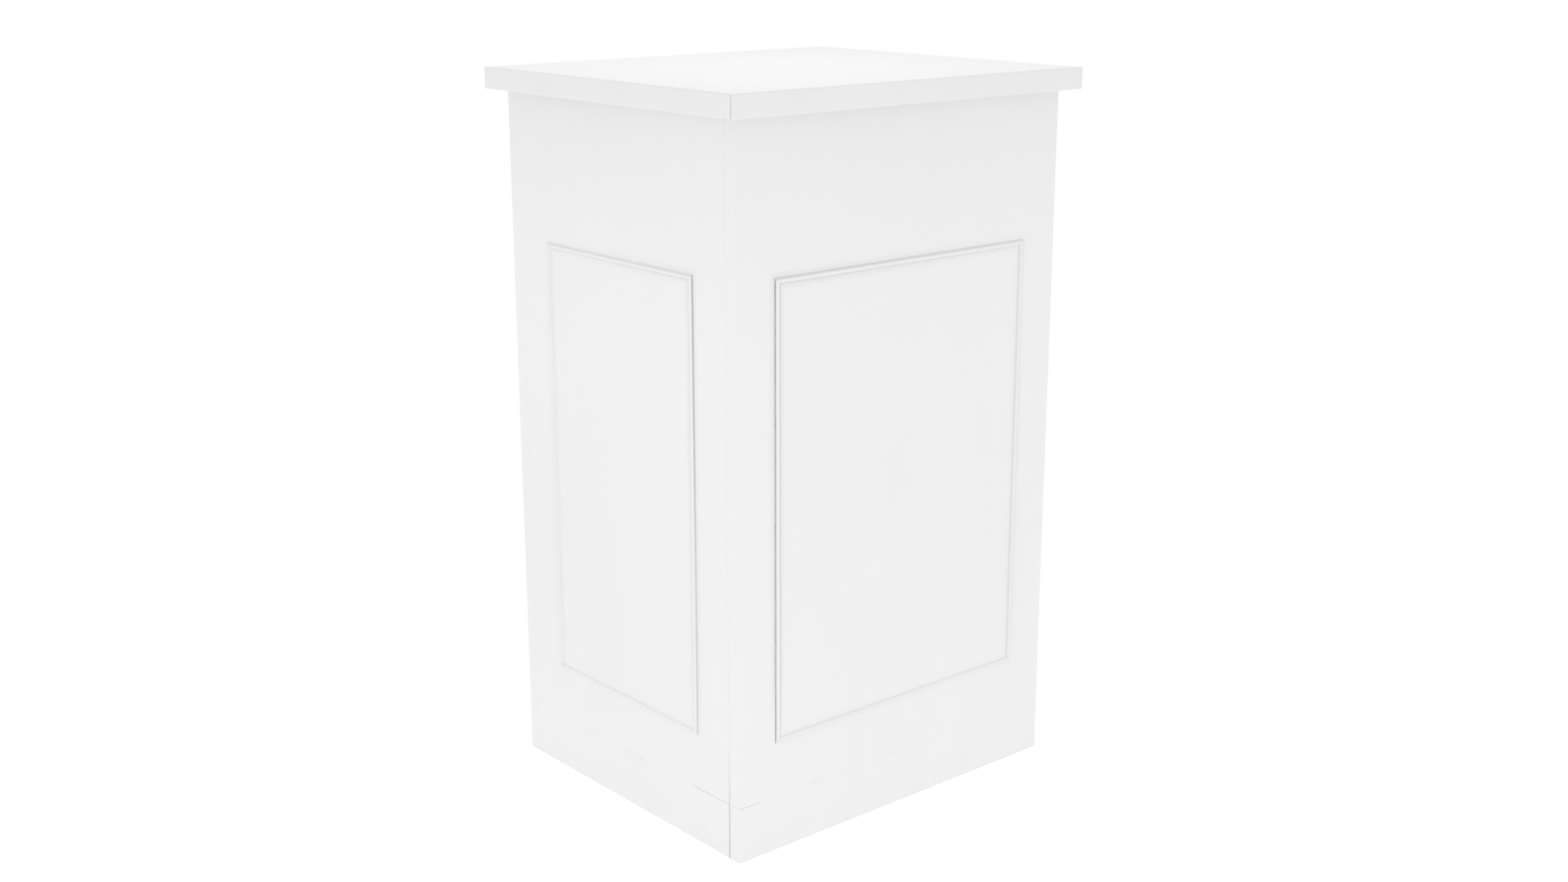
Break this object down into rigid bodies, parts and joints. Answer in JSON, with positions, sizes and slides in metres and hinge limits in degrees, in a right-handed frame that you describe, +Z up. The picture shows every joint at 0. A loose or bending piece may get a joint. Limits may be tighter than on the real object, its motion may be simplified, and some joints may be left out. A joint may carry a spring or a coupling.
{
  "type": "display plinth",
  "caption": "Free-standing painted display plinth with panel-moulding beads on its faces, a flush base band and an overhanging edge-lipped top.",
  "frame": {"origin": "on the floor, under the middle of the plinth", "axes": "+Z up; the wide front face looks towards -Y; the narrow left side looks towards -X"},
  "size_m": [0.552, 0.48, 0.9],
  "materials": {
    "white_paint": "satin white paint on fibreboard",
    "edge_lipping": "satin white edge band",
    "top_laminate": "satin white decorative laminate",
    "backing_laminate": "plain white balancing laminate",
    "raw_board": "bare fibreboard",
    "pine": "planed softwood",
    "screw_zinc": "zinc plated"
  },
  "bodies": {
    "root": {"back_bead_bottom": "white_paint", "back_bead_left": "white_paint", "back_bead_right": "white_paint", "back_bead_top": "white_paint", "back_panel": "white_paint", "base_back_board": "white_paint", "base_block_back_left": "pine", "base_block_back_right": "pine", "base_block_front_left": "pine", "base_block_front_right": "pine", "base_block_screws": "screw_zinc", "base_cleat_back": "pine", "base_cleat_front": "pine", "base_cleat_left": "pine", "base_cleat_right": "pine", "base_fixing_screws": "screw_zinc", "base_front_board": "white_paint", "base_left_board": "white_paint", "base_right_board": "white_paint", "batten_screws": "screw_zinc", "bottom_deck": "raw_board", "cleat_screws": "screw_zinc", "corner_batten_back_left": "pine", "corner_batten_back_right": "pine", "corner_batten_front_left": "pine", "corner_batten_front_right": "pine", "deck_screws": "screw_zinc", "front_bead_bottom": "white_paint", "front_bead_left": "white_paint", "front_bead_right": "white_paint", "front_bead_top": "white_paint", "front_panel": "white_paint", "left_bead_bottom": "white_paint", "left_bead_left": "white_paint", "left_bead_right": "white_paint", "left_bead_top": "white_paint", "left_side_panel": "white_paint", "right_bead_bottom": "white_paint", "right_bead_left": "white_paint", "right_bead_right": "white_paint", "right_bead_top": "white_paint", "right_side_panel": "white_paint", "top_cleat_back": "pine", "top_cleat_front": "pine", "top_cleat_left": "pine", "top_cleat_right": "pine", "top_core_board": "raw_board", "top_edge_back": "edge_lipping", "top_edge_front": "edge_lipping", "top_edge_left": "edge_lipping", "top_edge_right": "edge_lipping", "top_fixing_screws": "screw_zinc", "top_surface_sheet": "top_laminate", "top_underlay_sheet": "backing_laminate"}
  },
  "joints": []
}
